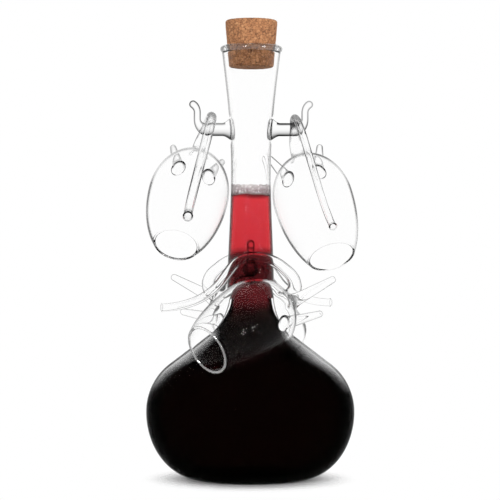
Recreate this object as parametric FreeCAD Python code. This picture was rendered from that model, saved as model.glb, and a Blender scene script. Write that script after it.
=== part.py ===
import FreeCAD, Part
import math
import os

# A port decanter of blown clear glass: a flattened round bottle with a long waisted neck, a flared
# mouth and a cork, filled with red port. Four glass hooks on the neck each carry one port sipper,
# an egg-shaped cup with two peg feet and a bent straw that is drawn out of its base.
# Millimetres, +Z up. The origin is on the decanter's axis, in the plane that it stands on.
# The front is towards -Y.

# Decanter, outside
foot_radius = 31.0
punt_depth = 4.0
belly_radius = 63.75
belly_height = 41.0
shoulder_radius = 36.5
shoulder_slope_deg = 37.2
sweep_radius = 30.0
neck_radius = 14.4
waist_radius = 12.2
waist_drop = 75.0
throat_radius = 14.3
throat_drop = 32.0
mouth_radius = 18.0
neck_length = 149.53
wall = 2.0
base_thickness = 3.2

# The neck starts where the sweep ends. The shoulder's arc, a straight slope and the sweep lead up to it
slope_out = math.sin(math.radians(shoulder_slope_deg))
slope_up = math.cos(math.radians(shoulder_slope_deg))
both_arcs = shoulder_radius + sweep_radius
slope_run = belly_radius - shoulder_radius + both_arcs * slope_out - sweep_radius - neck_radius
slope_length = slope_run / slope_up
neck_start_height = belly_height + both_arcs * slope_up + slope_length * slope_out

# The drops of the waist and the throat are measured down from the mouth
mouth_height = neck_start_height + neck_length
waist_height = mouth_height - waist_drop
throat_height = mouth_height - throat_drop

# Lip ring, cork and wine. The wine stands in the neck, above its start
lip_bead_radius = 2.1
cork_height = 29.05
cork_depth = 9.45
cork_top_radius = 16.1
cork_bottom_radius = 13.9
cork_edge_radius = 1.6
cork_clearance = 0.2
wine_rise = 62.03
wine_gap = 0.1
foam_height = 6.6
foam_dip = 1.4
cork_bottom_height = mouth_height - cork_depth
wine_height = neck_start_height + wine_rise

# Hooks. The upper pair hangs below the mouth, and the lower pair stands above the neck's start
upper_hook_drop = 47.4
lower_hook_rise = 16.53
hook_reach = 33.0
upper_root_radius = 8.5
lower_root_radius = 5.5
hook_rod_radius = 4.0
hook_upright_radius = 2.15
hook_ball_radius = 2.4
hook_bend_radius = 6.5
hook_rise = 15.4
hook_tip_radius = 6.0
hook_tip_deg = 55.0
upper_hook_height = mouth_height - upper_hook_drop
lower_hook_height = neck_start_height + lower_hook_rise

# What the four sippers share, in a sipper's own frame: its axis is X towards the mouth, and the
# straw lies towards Y
bowl_wall = 1.4
spout_length = 4.0
spout_shoulder_radius = 12.0
straw_wall = 1.1
straw_tip_bend_radius = 50.0
straw_bead_radius = 0.6
straw_bead_rise = 0.4
foot_turn_deg = 130.0
foot_root_offset = 13.5
foot_root_ball = 4.5
foot_peg_radius = 3.9
foot_tip_station = 47.5
foot_tip_offset = 21.0
foot_tip_ball = 2.1

# The straw rests on the hook's rod with this much room
seat_gap = 0.3

# The sippers are blown by hand, so each has its own bowl and straw. Lengths are from the bowl's widest
# place. spout_radius: where the straw is drawn out. straw_radius: at the second bend. station: the seat's
# distance from the decanter's axis. side: which way round the hook the mouth turns. out_deg: the mouth's
# turn away from the decanter. drop_deg: its fall below level. roll_deg: the turn about the sipper's own
# axis. seat_deg: where the straw's second bend is seated. lean_deg: how far that bend passes a half turn.
LOWER_SIPPER = dict(
    bowl_radius=23.7, base_length=24.4, mouth_length=40.9, mouth_radius=15.2, spout_radius=4.7,
    straw_radius=3.4, tip_radius=2.3, first_radius=14.1, cross_length=4.0, second_radius=19.7,
    run_length=14.6, station=20.3, side=-1, out_deg=40.5, drop_deg=25.5, roll_deg=46.5, seat_deg=66.7,
    lean_deg=17.9, tip_bend_deg=51.8,
)
SIPPERS = {
    "left": dict(
        bowl_radius=24.8, base_length=33.8, mouth_length=41.0, mouth_radius=14.0, spout_radius=5.4,
        straw_radius=3.3, tip_radius=2.65, first_radius=6.6, cross_length=8.9, second_radius=26.4,
        run_length=43.8, station=24.2, side=1, out_deg=13.6, drop_deg=47.4, roll_deg=-24.1,
        seat_deg=53.6, lean_deg=3.6, tip_bend_deg=40.5,
    ),
    "right": dict(
        bowl_radius=24.6, base_length=32.2, mouth_length=42.7, mouth_radius=14.7, spout_radius=4.8,
        straw_radius=2.45, tip_radius=2.1, first_radius=7.5, cross_length=11.4, second_radius=26.6,
        run_length=32.2, station=26.4, side=-1, out_deg=23.5, drop_deg=53.1, roll_deg=23.4,
        seat_deg=27.4, lean_deg=9.6, tip_bend_deg=40.0,
    ),
    "front": LOWER_SIPPER,
    "back": LOWER_SIPPER,
}

# Each hook points out along its own direction at its own height, from a root of its own radius
HOOKS = {
    "left": ((-1, 0, 0), upper_hook_height, upper_root_radius),
    "right": ((1, 0, 0), upper_hook_height, upper_root_radius),
    "front": ((0, -1, 0), lower_hook_height, lower_root_radius),
    "back": ((0, 1, 0), lower_hook_height, lower_root_radius),
}

# Cuts and sunk roots run this far past the faces that they meet
overrun = 5.0
quarter_turn_deg = 90.0

X_AXIS = FreeCAD.Vector(1, 0, 0)
Z_AXIS = FreeCAD.Vector(0, 0, 1)
ORIGIN = FreeCAD.Vector(0, 0, 0)


def save(shape, node):
    os.makedirs("parts", exist_ok=True)
    shape.exportStep("parts/" + node + ".step")
    print(node, "solids", len(shape.Solids), "valid", shape.isValid(), "volume", round(shape.Volume, 1))


def on_profile(radius, height):
    return FreeCAD.Vector(radius, 0, height)


def line(start, end):
    return Part.LineSegment(start, end).toShape()


def spun(edges, axis=Z_AXIS):
    face = Part.Face(Part.Wire(edges))
    return face.revolve(ORIGIN, axis, 360)


def vessel_profile(inset, floor):
    """The decanter's outline from its floor to its mouth, moved in by inset. The heel is a quarter
    ellipse, the shoulder an arc, a straight slope and an arc the other way, and the neck a curve."""
    heel_axes = FreeCAD.Vector(belly_radius - inset - foot_radius, belly_height - floor, 0)
    heel_edge = ellipse_arc(heel_axes, -math.pi / 2, 0)
    standing = FreeCAD.Rotation(X_AXIS, quarter_turn_deg)
    heel_edge.Placement = FreeCAD.Placement(on_profile(foot_radius, belly_height), standing)

    shoulder_at = on_profile(belly_radius - shoulder_radius, belly_height)
    sweep_at = on_profile(neck_radius + sweep_radius, neck_start_height)
    convex = shoulder_radius - inset
    concave = sweep_radius + inset
    mid_turn = math.radians(quarter_turn_deg - shoulder_slope_deg) / 2
    mid = on_profile(math.cos(mid_turn), math.sin(mid_turn))
    full = on_profile(slope_out, slope_up)
    belly = shoulder_at + on_profile(convex, 0)
    shoulder_end = shoulder_at + full * convex
    sweep_start = sweep_at - full * concave
    neck_start = sweep_at - on_profile(concave, 0)
    shoulder_edge = Part.Arc(belly, shoulder_at + mid * convex, shoulder_end).toShape()
    sweep_edge = Part.Arc(sweep_start, sweep_at - mid * concave, neck_start).toShape()

    neck = Part.BSplineCurve()
    neck.interpolate(
        Points=[
            neck_start,
            on_profile(waist_radius - inset, waist_height),
            on_profile(throat_radius - inset, throat_height),
            on_profile(mouth_radius - inset, mouth_height),
        ],
        InitialTangent=Z_AXIS,
        FinalTangent=on_profile(mouth_radius - throat_radius, mouth_height - throat_height),
    )
    return [heel_edge, shoulder_edge, line(shoulder_end, sweep_start), sweep_edge, neck.toShape()]


def ellipse_arc(semi_axes, start, end):
    """An arc of the ellipse x = a cos t, y = b sin t. The longer semi-axis may lie along X or Y."""
    if semi_axes.x >= semi_axes.y:
        ellipse = Part.Ellipse(ORIGIN, semi_axes.x, semi_axes.y)
        return Part.ArcOfEllipse(ellipse, start, end).toShape()
    ellipse = Part.Ellipse(ORIGIN, semi_axes.y, semi_axes.x)
    ellipse.XAxis = FreeCAD.Vector(0, 1, 0)
    return Part.ArcOfEllipse(ellipse, start - math.pi / 2, end - math.pi / 2).toShape()


def filled_vessel(inset, floor):
    """The solid inside the outline, closed across the floor and the mouth."""
    edges = vessel_profile(inset, floor)
    bottom = on_profile(foot_radius, floor)
    rim = on_profile(mouth_radius - inset, mouth_height)
    axis_top, axis_bottom = on_profile(0, mouth_height), on_profile(0, floor)
    return spun([line(axis_bottom, bottom)] + edges + [line(rim, axis_top), line(axis_top, axis_bottom)])


def dome(radius, height):
    """A shallow cap of a sphere that stands on the plane z = 0."""
    ball_radius = (radius**2 + height**2) / (2 * height)
    ball = Part.makeSphere(ball_radius, on_profile(0, height - ball_radius))
    block = Part.makeBox(2 * belly_radius, 2 * belly_radius, belly_height)
    block.translate(FreeCAD.Vector(-belly_radius, -belly_radius, 0))
    return ball.common(block)


def decanter_vessel():
    punt_radius = foot_radius - base_thickness
    inner_dome = dome(punt_radius, punt_depth)
    inner_dome.translate(on_profile(0, base_thickness))
    mouth_plug = Part.makeCylinder(mouth_radius - wall, overrun, on_profile(0, mouth_height))
    hollow = filled_vessel(wall, base_thickness).cut(inner_dome).fuse(mouth_plug)
    return filled_vessel(0, 0).cut(hollow).cut(dome(punt_radius, punt_depth))


def vessel_lengths():
    """The vessel is one blown piece. It is held as three lengths of tube that meet face to face: the
    body up to the neck's start, the neck up to its waist, and the flare up to the mouth."""
    whole = decanter_vessel()
    levels = [0, neck_start_height, waist_height, mouth_height]
    lengths = []
    for bottom, top in zip(levels, levels[1:]):
        slab = Part.makeCylinder(2 * belly_radius, top - bottom, on_profile(0, bottom))
        lengths.append(whole.common(slab))
    return dict(zip(["decanter_body", "decanter_neck", "decanter_mouth"], lengths))


def contents(bottom, top):
    """What fills the vessel between two levels, just clear of the glass."""
    body = filled_vessel(wall + wine_gap, base_thickness + wine_gap)
    slab = Part.makeCylinder(belly_radius, top - bottom, on_profile(0, bottom))
    return body.common(slab)


def port_wine():
    bump = dome(foot_radius - base_thickness, punt_depth)
    bump.translate(on_profile(0, base_thickness + wine_gap))
    return contents(0, wine_height).cut(bump)


def wine_foam():
    """The foam's top is a shallow hollow, because its bubbles climb the glass."""
    top = wine_height + foam_height
    ball_radius = (neck_radius**2 + foam_dip**2) / (2 * foam_dip)
    hollow = Part.makeSphere(ball_radius, on_profile(0, top - foam_dip + ball_radius))
    return contents(wine_height, top).cut(hollow)


def lip_ring():
    """A bead of glass laid on the rim. Its bottom is flat, where it meets the rim."""
    centre = mouth_radius - wall / 2
    bead = Part.makeTorus(centre, lip_bead_radius, on_profile(0, bead_height()))
    below = Part.makeCylinder(mouth_radius + overrun, overrun, on_profile(0, mouth_height - overrun))
    return bead.cut(below)


def bead_height():
    """The bead's centre stands high enough for its flat bottom to be as wide as the wall."""
    return mouth_height + math.sqrt(lip_bead_radius**2 - (wall / 2) ** 2)


def cork():
    """A tapered plug, as wide as the lip ring's hole less a clearance where they meet."""
    hole = mouth_radius - wall / 2 - lip_bead_radius
    seat_share = (bead_height() - cork_bottom_height) / cork_height
    as_drawn = cork_bottom_radius + (cork_top_radius - cork_bottom_radius) * seat_share
    shrink = max(as_drawn - (hole - cork_clearance), 0)
    plug = Part.makeCone(cork_bottom_radius - shrink, cork_top_radius - shrink, cork_height)
    plug = plug.makeFillet(cork_edge_radius, [e for e in plug.Edges if isinstance(e.Curve, Part.Circle)])
    plug.translate(on_profile(0, cork_bottom_height))
    return plug


class Walk:
    """A flat path of straight runs and arcs. It keeps a list of (x, y, heading, length so far)."""

    def __init__(self, x, y, heading_deg):
        self.x, self.y, self.heading = x, y, math.radians(heading_deg)
        self.length = 0
        self.stops = [(x, y, self.heading, 0)]

    def stop(self):
        self.stops.append((self.x, self.y, self.heading, self.length))

    def run(self, length, steps):
        for _ in range(steps):
            self.x += math.cos(self.heading) * length / steps
            self.y += math.sin(self.heading) * length / steps
            self.length += length / steps
            self.stop()

    def turn(self, radius, degrees, steps):
        """Turns left for positive degrees, and right for negative ones."""
        angle = math.radians(degrees)
        side = math.copysign(radius, angle)
        centre_x = self.x - side * math.sin(self.heading)
        centre_y = self.y + side * math.cos(self.heading)
        for _ in range(steps):
            self.heading += angle / steps
            self.x = centre_x + side * math.sin(self.heading)
            self.y = centre_y - side * math.cos(self.heading)
            self.length += radius * abs(angle) / steps
            self.stop()


def rod_along(stops, radii, out, up):
    """A solid through one circle at each stop. The path lies in the plane of out and up."""
    circles = []
    for (x, y, heading, _), radius in zip(stops, radii):
        centre = out * x + up * y
        ahead = out * math.cos(heading) + up * math.sin(heading)
        circles.append(Part.Wire(Part.Circle(centre, ahead, radius).toShape()))
    return Part.makeLoft(circles, True, False)


def blend(start, end, share):
    return start + (end - start) * share


def hook_walk():
    walk = Walk(neck_radius - overrun, 0, 0)
    walk.run(hook_reach - hook_bend_radius - walk.x, 4)
    walk.turn(hook_bend_radius, quarter_turn_deg, 5)
    walk.run(hook_rise - hook_bend_radius - hook_tip_radius * math.sin(math.radians(hook_tip_deg)), 2)
    walk.turn(hook_tip_radius, -hook_tip_deg, 3)
    return walk


def hook(name, vessel_solid):
    """A J of glass rod: a root that flares into the neck, a level rod, a bend and a thin upright."""
    direction, height, root_radius = HOOKS[name]
    stops = hook_walk().stops
    # shares of the way from the root's radius to the rod's, and from the rod's to the upright's
    root_shares = [0, 0.36, 0.9, 1, 1]
    upright_shares = [0.12, 0.34, 0.6, 0.82, 0.95, 1, 1, 1, 1, 1]
    radii = [blend(root_radius, hook_rod_radius, share) for share in root_shares]
    radii += [blend(hook_rod_radius, hook_upright_radius, share) for share in upright_shares]
    out = FreeCAD.Vector(*direction)
    rod = rod_along(stops, radii, out, Z_AXIS)
    x, y = stops[-1][:2]
    ball = Part.makeSphere(hook_ball_radius, out * x + Z_AXIS * y)
    shape = rod.fuse(ball)
    shape.translate(on_profile(0, height))
    return shape.cut(vessel_solid)


def bowl_outline(cup, inset, spout_radius):
    """Half the bowl's outline from its spout to its mouth, moved in by inset. Two half ellipses meet
    at the widest place, and a curve draws the base out into the spout."""
    widest = cup["bowl_radius"] - inset
    base = cup["base_length"] - inset
    shoulder = spout_shoulder_radius - inset
    turn = math.asin(shoulder / widest)
    leave = FreeCAD.Vector(-base * math.cos(turn), shoulder, 0)
    along = FreeCAD.Vector(-base * math.sin(turn), -widest * math.cos(turn), 0).normalize()
    end = FreeCAD.Vector(-cup["base_length"] - spout_length, spout_radius, 0)
    reach = (leave - end).Length / 2
    spout = Part.BezierCurve()
    spout.setPoles([end, end + FreeCAD.Vector(reach, 0, 0), leave + along * reach, leave])

    mouth_turn = math.asin((cup["mouth_radius"] - inset) / widest)
    base_ellipse = FreeCAD.Vector(base, widest, 0)
    mouth_ellipse = FreeCAD.Vector(cup["mouth_length"] / math.cos(mouth_turn), widest, 0)
    base_arc = ellipse_arc(base_ellipse, math.pi / 2, math.pi - turn)
    mouth_arc = ellipse_arc(mouth_ellipse, mouth_turn, math.pi / 2)
    rim = FreeCAD.Vector(cup["mouth_length"], cup["mouth_radius"] - inset, 0)
    return [spout.toShape(), base_arc, mouth_arc], end, rim


def sipper_bowl(cup):
    """A blown cup of even wall with a rounded rim. Its spout is open into the straw."""
    outer, outer_end, outer_rim = bowl_outline(cup, 0, cup["spout_radius"])
    inner, inner_end, inner_rim = bowl_outline(cup, bowl_wall, cup["spout_radius"] - straw_wall)
    crown = (outer_rim + inner_rim) / 2 + FreeCAD.Vector((outer_rim - inner_rim).Length / 2, 0, 0)
    lip = Part.Arc(outer_rim, crown, inner_rim).toShape()
    edges = outer + [lip] + inner + [line(inner_end, outer_end)]
    return spun(Part.sortEdges(edges)[0], X_AXIS)


def bowl_halves(cup):
    """The cup is one blown piece. It is held as two halves that meet face to face at its widest
    place: the round bowl with the spout, and the mouth."""
    whole = sipper_bowl(cup)
    reach = cup["base_length"] + spout_length + cup["mouth_length"]
    behind = Part.makeCylinder(2 * cup["bowl_radius"], reach, ORIGIN, -X_AXIS)
    return {"bowl": whole.common(behind), "mouth": whole.cut(behind)}


def sipper_filled(cup):
    """The bowl as one lump, to trim what is fused to its outside."""
    outer, end, rim = bowl_outline(cup, 0, cup["spout_radius"])
    on_axis = [FreeCAD.Vector(end.x, 0, 0), FreeCAD.Vector(rim.x, 0, 0)]
    edges = outer + [line(rim, on_axis[1]), line(on_axis[1], on_axis[0]), line(on_axis[0], end)]
    return spun(Part.sortEdges(edges)[0], X_AXIS)


def straw_start(cup):
    """The straw's path as far as its second bend."""
    walk = Walk(-cup["base_length"] - spout_length, 0, 2 * quarter_turn_deg)
    walk.turn(cup["first_radius"], -quarter_turn_deg, 6)
    walk.run(cup["cross_length"], 1)
    return walk


def straw_to_seat(cup):
    walk = straw_start(cup)
    walk.turn(cup["second_radius"], -cup["seat_deg"], 1)
    return walk


def straw_walk(cup):
    walk = straw_start(cup)
    walk.turn(cup["second_radius"], -quarter_turn_deg - cup["lean_deg"], 7)
    walk.run(cup["run_length"], 2)
    walk.turn(straw_tip_bend_radius, cup["tip_bend_deg"], 4)
    return walk


def straw_radius(cup, length):
    """The straw narrows fast as far as its second bend, and slowly from there to its tip."""
    bend = straw_start(cup).length
    if length < bend:
        return blend(cup["spout_radius"], cup["straw_radius"], length / bend)
    rest = straw_walk(cup).length - bend
    return blend(cup["straw_radius"], cup["tip_radius"], (length - bend) / rest)


def sipper_straw(cup):
    """A tapered tube along the bent path, with a melted bead round its tip."""
    stops = straw_walk(cup).stops
    across = FreeCAD.Vector(0, 1, 0)
    outer = [straw_radius(cup, stop[3]) for stop in stops]
    inner = [radius - straw_wall for radius in outer]
    x, y, heading, _ = stops[-1]
    ahead = FreeCAD.Vector(math.cos(heading), math.sin(heading), 0)
    ring_radius = cup["tip_radius"] + straw_bead_rise - straw_bead_radius
    bead = Part.makeTorus(ring_radius, straw_bead_radius, FreeCAD.Vector(x, y, 0), ahead)
    tube = rod_along(stops, outer, X_AXIS, across).fuse(bead)
    return tube.cut(rod_along(stops, inner, X_AXIS, across))


def sipper_feet(cup):
    """Two tapered pegs with ball ends, on the side of the base away from the straw."""
    lump = sipper_filled(cup)
    root_station = cup["base_length"] * math.sqrt(1 - (foot_root_offset / cup["bowl_radius"]) ** 2)
    feet = []
    for side in (1, -1):
        turn = math.radians(foot_turn_deg) * side
        away = FreeCAD.Vector(0, math.cos(turn), math.sin(turn))
        root = FreeCAD.Vector(-root_station, 0, 0) + away * foot_root_offset
        tip = FreeCAD.Vector(-foot_tip_station, 0, 0) + away * foot_tip_offset
        peg = Part.makeCone(foot_peg_radius, foot_tip_ball, (tip - root).Length, root, tip - root)
        foot = peg.fuse(Part.makeSphere(foot_root_ball, root)).fuse(Part.makeSphere(foot_tip_ball, tip))
        feet.append(foot.cut(lump))
    return Part.makeCompound([solid for foot in feet for solid in foot.Solids])


def hanging_place(name, cup):
    """Where a sipper hangs: its straw lies over the hook's rod, clear by the seat's gap."""
    direction, height, _ = HOOKS[name]
    out = FreeCAD.Vector(*direction)
    side = Z_AXIS.cross(out) * cup["side"]
    out_turn, drop, roll = (math.radians(cup[key]) for key in ("out_deg", "drop_deg", "roll_deg"))
    level = side * math.cos(out_turn) + out * math.sin(out_turn)
    mouth = level * math.cos(drop) - Z_AXIS * math.sin(drop)
    rise = (Z_AXIS - mouth * Z_AXIS.dot(mouth)).normalize()
    straw = rise * math.cos(roll) + mouth.cross(rise) * math.sin(roll)
    turned = FreeCAD.Rotation(mouth, straw, mouth.cross(straw), "XYZ")

    walk = straw_to_seat(cup)
    seat = turned.multVec(FreeCAD.Vector(walk.x, walk.y, 0))
    ahead = turned.multVec(FreeCAD.Vector(math.cos(walk.heading), math.sin(walk.heading), 0))
    lift = ahead.cross(out).normalize()
    if lift.z < 0:
        lift = -lift
    clear = hook_rod_radius + seat_gap + straw_radius(cup, walk.length)
    at = out * cup["station"] + Z_AXIS * height + lift * clear - seat
    return FreeCAD.Placement(at, turned)


def placed(shape, placement):
    copy = shape.copy()
    copy.Placement = placement.multiply(shape.Placement)
    return copy


def build():
    vessel_solid = filled_vessel(0, 0)
    for node, shape in vessel_lengths().items():
        save(shape, node)
    save(lip_ring(), "lip_ring")
    save(cork(), "cork_stopper")
    save(port_wine(), "port_wine")
    save(wine_foam(), "wine_foam")
    for name in HOOKS:
        save(hook(name, vessel_solid), "hook_" + name)

    for name, cup in SIPPERS.items():
        placement = hanging_place(name, cup)
        pieces = bowl_halves(cup) | {"straw": sipper_straw(cup), "feet": sipper_feet(cup)}
        for piece, shape in pieces.items():
            save(placed(shape, placement), "sipper_" + name + "_" + piece)


build()
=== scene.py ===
import math

import bpy
import numpy as np
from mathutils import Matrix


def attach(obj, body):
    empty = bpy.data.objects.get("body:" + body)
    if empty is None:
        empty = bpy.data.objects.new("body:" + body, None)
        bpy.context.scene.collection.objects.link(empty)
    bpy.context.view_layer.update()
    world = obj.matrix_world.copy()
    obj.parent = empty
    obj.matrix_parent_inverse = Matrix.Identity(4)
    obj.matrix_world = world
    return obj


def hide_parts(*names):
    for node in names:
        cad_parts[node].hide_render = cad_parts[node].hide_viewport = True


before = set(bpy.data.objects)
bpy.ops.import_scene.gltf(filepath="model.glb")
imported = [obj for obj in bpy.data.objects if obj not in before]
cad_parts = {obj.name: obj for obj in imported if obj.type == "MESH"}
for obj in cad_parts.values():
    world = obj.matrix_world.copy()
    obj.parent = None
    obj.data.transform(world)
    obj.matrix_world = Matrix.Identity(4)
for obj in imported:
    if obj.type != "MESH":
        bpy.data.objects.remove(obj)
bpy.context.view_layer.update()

# A port decanter of blown clear glass with four hanging sippers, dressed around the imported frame.
# Shapes are worked out in millimetres and written to the meshes in metres.
mm = 0.001
print("frame loaded:", len(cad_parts), "nodes")

camera = dict(distance=1200.0, height=139.8, aside=-0.44, rollDeg=-0.165, lens=140.95, sensor=36.0)


# A long lens, level with the middle of the decanter.
def makeCamera():
    data = bpy.data.cameras.new("camera")
    data.lens, data.sensor_width = camera["lens"], camera["sensor"]
    data.clip_start, data.clip_end = 0.05, 50
    seen = bpy.data.objects.new("camera", data)
    seen.location = (camera["aside"] * mm, -camera["distance"] * mm, camera["height"] * mm)
    seen.rotation_euler = (math.pi / 2, math.radians(camera["rollDeg"]), 0)  # looking along +Y
    bpy.context.scene.collection.objects.link(seen)
    bpy.context.scene.camera = seen


makeCamera()
print("camera placed")


# Rings of points, each closed on itself, joined in order by quads. With loop the last ring joins
# the first, as on a tube with a bore. Otherwise each end is closed by a fan to the middle of its
# ring.
def ringMesh(name, rings, loop=False, attributes=None):
    count, sides, _ = rings.shape
    points = rings.reshape(-1, 3)
    i = np.arange(count if loop else count - 1)[:, None]
    j = np.arange(sides)[None, :]
    after, beside = (i + 1) % count, (j + 1) % sides
    corners = (i * sides + j, i * sides + beside, after * sides + beside, after * sides + j)
    quads = np.stack(np.broadcast_arrays(*corners), axis=-1).reshape(-1, 4)
    faces = quads.tolist()
    if not loop:
        points = np.vstack([points, rings[0].mean(0), rings[-1].mean(0)])
        turn, final = np.arange(sides), (count - 1) * sides
        start = np.stack([np.full(sides, count * sides), (turn + 1) % sides, turn], -1)
        end = np.stack([np.full(sides, count * sides + 1), final + turn, final + (turn + 1) % sides], -1)
        faces += start.tolist() + end.tolist()
    mesh = bpy.data.meshes.new(name)
    mesh.from_pydata((points * mm).tolist(), [], faces)
    a, b, c, d = (points[quads[:, k]] for k in range(4))
    volume = (np.cross(a, b) * c).sum() + (np.cross(a, c) * d).sum()
    if volume < 0:
        mesh.flip_normals()
    mesh.polygons.foreach_set("use_smooth", np.ones(len(mesh.polygons), bool))
    for key, values in (attributes or {}).items():
        layer = mesh.attributes.new(key, "FLOAT", "POINT")
        if not loop:
            ends = [values.reshape(count, sides)[0].mean(), values.reshape(count, sides)[-1].mean()]
            values = np.concatenate([values.ravel(), ends])
        layer.data.foreach_set("value", values.astype(np.float32).ravel())
    mesh.update()
    piece = bpy.data.objects.new(name, mesh)
    bpy.context.scene.collection.objects.link(piece)
    return piece


# Equal turns round a ring, from 0 up to a whole turn, which is left out.
def ringAngles(sides):
    return np.linspace(0, 2 * np.pi, sides, endpoint=False)


# One value for each ring, repeated round it.
def roundRings(values, sides):
    return np.repeat(values[:, None], sides, 1)


# A profile of (radius, height) turned about the Z axis: x = r cos a, y = r sin a, z = height.
def spunRings(profile, sides):
    angle = ringAngles(sides)
    radius, height = profile[:, :1], profile[:, 1:]
    return np.stack([radius * np.cos(angle), radius * np.sin(angle), height + 0 * angle], -1)


# A flat path of moves, each a (length, turn in degrees). The heading grows evenly along each move,
# and the place is the running sum of the chords.
def walkPath(x, y, headingDeg, moves, step=0.6):
    counts = [max(2, math.ceil(length / step)) for length, _ in moves]
    steps = np.concatenate([np.full(k, length / k) for k, (length, _) in zip(counts, moves)])
    turns = np.concatenate([np.full(k, math.radians(turn) / k) for k, (_, turn) in zip(counts, moves)])
    heading = math.radians(headingDeg) + np.concatenate([[0], np.cumsum(turns)])
    middle = heading[:-1] + turns / 2
    chord = steps * np.sinc(turns / (2 * np.pi))
    along = x + np.concatenate([[0], np.cumsum(chord * np.cos(middle))])
    across = y + np.concatenate([[0], np.cumsum(chord * np.sin(middle))])
    return along, across, heading, np.concatenate([[0], np.cumsum(steps)])


# The length of an arc is its radius times its angle in radians.
def arcLength(radius, degrees):
    return radius * math.radians(abs(degrees))


# The S curve 3t^2 - 2t^3 of a value held between 0 and 1.
def smooth(value):
    t = np.clip(value, 0, 1)
    return t * t * (3 - 2 * t)


# Rounded grains: each cube of the given size holds one point, shifted by a hash of the cube's
# place. Gives the distances to the nearest and next point, in sizes, and the nearest one's own
# value.
def cellNoise(points, size, seed):
    def hashed(cell, salt):
        mixed = cell @ np.array([12.9898, 78.233, 37.719]) + salt * 4.1414 + seed
        return np.modf(np.abs(np.sin(mixed) * 43758.5453))[0]

    home = np.floor(points / size)
    nearest = np.full(len(points), 9.0)
    second = nearest.copy()
    tone = np.zeros(len(points))
    for offset in np.ndindex(3, 3, 3):
        cell = home + np.array(offset) - 1
        middle = cell + np.stack([hashed(cell, salt) for salt in (1, 2, 3)], -1)
        gap = np.linalg.norm(points / size - middle, axis=1)
        closer = gap < nearest
        second = np.where(closer, nearest, np.minimum(second, gap))
        tone = np.where(closer, hashed(cell, 4), tone)
        nearest = np.where(closer, gap, nearest)
    return nearest, second, tone


# A node with its settings, and each input either linked to a socket or given a value.
def addNode(tree, kind, inputs=None, **settings):
    node = tree.nodes.new(kind)
    for key, value in settings.items():
        setattr(node, key, value)
    for key, value in (inputs or {}).items():
        if isinstance(value, bpy.types.NodeSocket):
            tree.links.new(value, node.inputs[key])
        else:
            node.inputs[key].default_value = value
    return node


def addMath(tree, operation, *values):
    return addNode(tree, "ShaderNodeMath", dict(enumerate(values)), operation=operation).outputs[0]


def addMix(tree, factor, first, second, blend="MIX"):
    mix = addNode(tree, "ShaderNodeMix", {0: factor, 6: first, 7: second}, data_type="RGBA", blend_type=blend)
    return mix.outputs[2]


# From 0 where the value is start to 1 where it is end, along an S curve.
def addSmooth(tree, value, start, end):
    return addNode(
        tree, "ShaderNodeMapRange", {"Value": value, "From Min": start, "From Max": end},
        interpolation_type="SMOOTHSTEP",
    ).outputs["Result"]


def addNoise(tree, place, scale, detail, roughness=0.5):
    inputs = {"Vector": place, "Scale": scale, "Detail": detail, "Roughness": roughness}
    return addNode(tree, "ShaderNodeTexNoise", inputs).outputs["Fac"]


def addAttribute(tree, name):
    return addNode(tree, "ShaderNodeAttribute", attribute_name=name).outputs["Fac"]


def objectPlace(tree):
    return addNode(tree, "ShaderNodeTexCoord").outputs["Object"]


def addFacing(tree):
    return addNode(tree, "ShaderNodeLayerWeight", {"Blend": 0.5}).outputs["Facing"]


def addBump(tree, shader, height, strength, distance):
    bump = addNode(tree, "ShaderNodeBump", {"Height": height, "Strength": strength, "Distance": distance})
    tree.links.new(bump.outputs["Normal"], shader.inputs["Normal"])


# Colours blended between stops, each a (share, colour).
def addRamp(tree, share, stops):
    node = addNode(tree, "ShaderNodeValToRGB", {"Fac": share})
    ramp = node.color_ramp
    while len(ramp.elements) < len(stops):
        ramp.elements.new(0.5)
    for element, (position, colour) in zip(ramp.elements, stops):
        element.position, element.color = position, colour
    return node.outputs["Color"]


def newMaterial(name):
    material = bpy.data.materials.new(name)
    material.use_nodes = True
    tree = material.node_tree
    return material, tree, tree.nodes["Principled BSDF"]


def grey(value):
    return (value, value, value, 1)


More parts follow.
